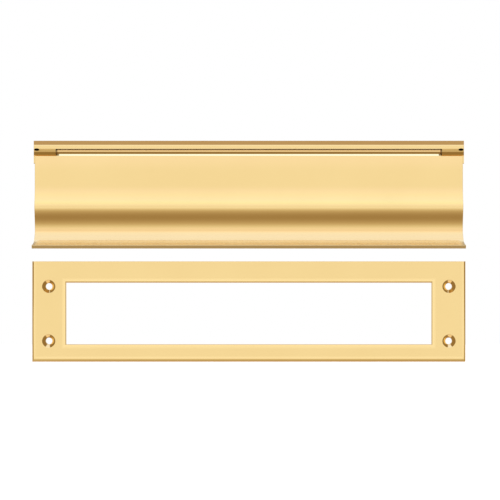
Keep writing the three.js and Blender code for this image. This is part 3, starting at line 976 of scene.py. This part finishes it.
# ------------------------------------------------------------------ world, floor, camera
# Soft studio light by direction. Angles are degrees round the X axis: 0 level in front,
# 90 overhead, 180 level behind, -90 straight down. FRONT is the narrow middle sector, with a
# dark card low in front and a brown one high behind; WIDE is everything to its sides.
FRONT = [
    (-180, (0.86, 0.82, 0.76)),
    (-170, (0.60, 0.52, 0.42)),
    (-160, (0.40, 0.29, 0.16)),
    (-105, (0.42, 0.31, 0.18)),
    (-90, (1.0, 0.84, 0.72)),
    (-66, (1.0, 0.84, 0.72)),
    (-54, (0.34, 0.235, 0.11)),
    (-30, (0.31, 0.21, 0.09)),
    (-22, (0.36, 0.257, 0.138)),
    (-15, (0.60, 0.50, 0.36)),
    (-10, (0.86, 0.81, 0.72)),
    (-6.5, (1.0, 1.0, 1.0)),
    (4.5, (1.0, 1.0, 1.0)),
    (8, (1.045, 1.035, 1.11)),
    (13, (1.075, 1.08, 1.18)),
    (21, (1.09, 1.13, 1.18)),
    (30, (1.09, 1.16, 1.36)),
    (60, (1.05, 1.11, 1.44)),
    (75, (1.05, 1.12, 1.46)),
    (92, (1.04, 1.07, 1.24)),
    (108, (1.0, 0.98, 0.90)),
    (118, (0.54, 0.42, 0.31)),
    (158, (0.46, 0.36, 0.25)),
    (166, (0.60, 0.52, 0.42)),
    (180, (0.86, 0.82, 0.76)),
]
WIDE = [
    (-180, (0.86, 0.82, 0.76)),
    (-120, (0.74, 0.67, 0.58)),
    (-90, (0.66, 0.56, 0.44)),
    (-45, (0.70, 0.60, 0.48)),
    (-12, (0.92, 0.88, 0.82)),
    (0, (1.0, 1.0, 1.0)),
    (30, (1.08, 1.16, 1.26)),
    (60, (1.06, 1.14, 1.34)),
    (90, (1.16, 1.28, 1.5)),
    (130, (0.98, 0.98, 1.0)),
    (180, (0.86, 0.82, 0.76)),
]
SIDE = (0.33, 0.225, 0.105)


def sin_deg(a):
    return math.sin(math.radians(a))


def build_stage():
    w = bpy.data.worlds.new("studio")
    scene.world = w
    w.use_nodes = True
    t = w.node_tree
    t.nodes.clear()
    L = t.links.new

    def N(kind, **kw):
        n = t.nodes.new(kind)
        for k, v in kw.items():
            setattr(n, k, v)
        return n

    def op(kind, a, b=None):
        n = N("ShaderNodeMath", operation=kind)
        for sock, v in ((n.inputs[0], a), (n.inputs[1], b)):
            if v is None:
                continue
            if isinstance(v, bpy.types.NodeSocket):
                L(v, sock)
            else:
                sock.default_value = v
        return n.outputs[0]

    def step(v, a, b, c=0.0, d=1.0):
        n = N("ShaderNodeMapRange", interpolation_type="SMOOTHSTEP")
        for k, x in (("From Min", a), ("From Max", b), ("To Min", c), ("To Max", d)):
            n.inputs[k].default_value = x
        L(v, n.inputs["Value"])
        return n.outputs["Result"]

    def mixed(fac, a, b):
        n = N("ShaderNodeMix", data_type="RGBA")
        L(fac, n.inputs[0])
        for sock, v in ((n.inputs[6], a), (n.inputs[7], b)):
            if isinstance(v, bpy.types.NodeSocket):
                L(v, sock)
            else:
                sock.default_value = (*v, 1)
        return n.outputs[2]

    def table(fac, stops):
        n = N("ShaderNodeValToRGB")
        n.color_ramp.interpolation = "LINEAR"
        e = n.color_ramp.elements
        while len(e) < len(stops):
            e.new(0.5)
        for k, (deg, c) in zip(e, stops):
            k.position = (deg + 180) / 360
            k.color = tuple(v / 2 for v in c) + (1,)
        L(fac, n.inputs["Fac"])
        m = N("ShaderNodeVectorMath", operation="SCALE")
        m.inputs["Scale"].default_value = 2.0
        L(n.outputs["Color"], m.inputs[0])
        return m.outputs[0]

    out = N("ShaderNodeOutputWorld")
    bg, white = N("ShaderNodeBackground"), N("ShaderNodeBackground")
    white.inputs["Color"].default_value = (1, 1, 1, 1)
    mix, lp = N("ShaderNodeMixShader"), N("ShaderNodeLightPath")
    L(lp.outputs["Is Camera Ray"], mix.inputs[0])
    L(bg.outputs[0], mix.inputs[1])
    L(white.outputs[0], mix.inputs[2])
    L(mix.outputs[0], out.inputs[0])
    co, sep = N("ShaderNodeTexCoord"), N("ShaderNodeSeparateXYZ")
    L(co.outputs["Generated"], sep.inputs[0])
    x, y, z = sep.outputs
    roll = op("ARCTAN2", z, op("MULTIPLY", y, -1.0))
    fac = op("ADD", op("MULTIPLY", roll, 1 / (2 * math.pi)), 0.5)
    ax, az = op("ABSOLUTE", x), op("ABSOLUTE", z)
    middle = step(ax, sin_deg(13), sin_deg(30), 1.0, 0.0)
    col = mixed(middle, table(fac, WIDE), table(fac, FRONT))
    strip = op("MULTIPLY", step(ax, sin_deg(20), sin_deg(36)), step(ax, sin_deg(76), sin_deg(87), 1.0, 0.0))
    strip = op("MULTIPLY", strip, step(az, sin_deg(7), sin_deg(20), 1.0, 0.0))
    strip = op("MULTIPLY", strip, step(y, 0.0, 0.3, 1.0, 0.55))
    col = mixed(strip, col, SIDE)
    # two upright dark flags, left and right, just in front of the object's plane
    flag = op("MULTIPLY", step(y, -0.64, -0.54, 0.0, 1.0), step(y, 0.0, 0.12, 1.0, 0.0))
    flag = op("MULTIPLY", flag, step(ax, 0.26, 0.42))
    col = mixed(flag, col, SIDE)
    L(col, bg.inputs["Color"])

    # pale floor, well below
    me = bpy.data.meshes.new("floor")
    s = 6.0
    me.from_pydata([(-s, -s, -0.55), (s, -s, -0.55), (s, s, -0.55), (-s, s, -0.55)], [], [(0, 1, 2, 3)])
    floor = link(bpy.data.objects.new("floor", me))
    fm = bpy.data.materials.new("floor_pale")
    fm.use_nodes = True
    b = fm.node_tree.nodes["Principled BSDF"]
    b.inputs["Base Color"].default_value = (0.9, 0.9, 0.9, 1)
    b.inputs["Roughness"].default_value = 0.9
    b.inputs["Emission Color"].default_value = (1, 1, 1, 1)
    b.inputs["Emission Strength"].default_value = 0.55
    me.materials.append(fm)
    floor.visible_glossy = False

    cam = bpy.data.cameras.new("camera")
    cam.lens = 93.6
    cam.sensor_width = 36
    cam.clip_start, cam.clip_end = 0.01, 50
    o = link(bpy.data.objects.new("camera", cam))
    o.location = (0.00088, F_LO[1] * MM - 1.0, (F_HI[2] + 8.75) * MM)
    o.rotation_euler = (math.radians(90), 0, 0)
    scene.camera = o
    scene.view_settings.view_transform = "Standard"
    scene.view_settings.look = "None"


MATS = {"brass": polished_brass(), "header": header_brass(), "leaf": flap_brass(), "frame": frame_brass(), "dull": dull_brass(),
        "steel": steel("steel_bright", (0.66, 0.66, 0.67), 0.22), "zinc": steel("steel_zinc", (0.58, 0.59, 0.60), 0.36, True),
        "rubber": rubber(), "recess": painted_shade_recess()}

build_flap(MATS)
build_header(MATS)
build_frame(MATS)
build_backplate(MATS)
build_fixings(MATS)
build_header_screws(MATS)
build_hinge(MATS)
build_stage()
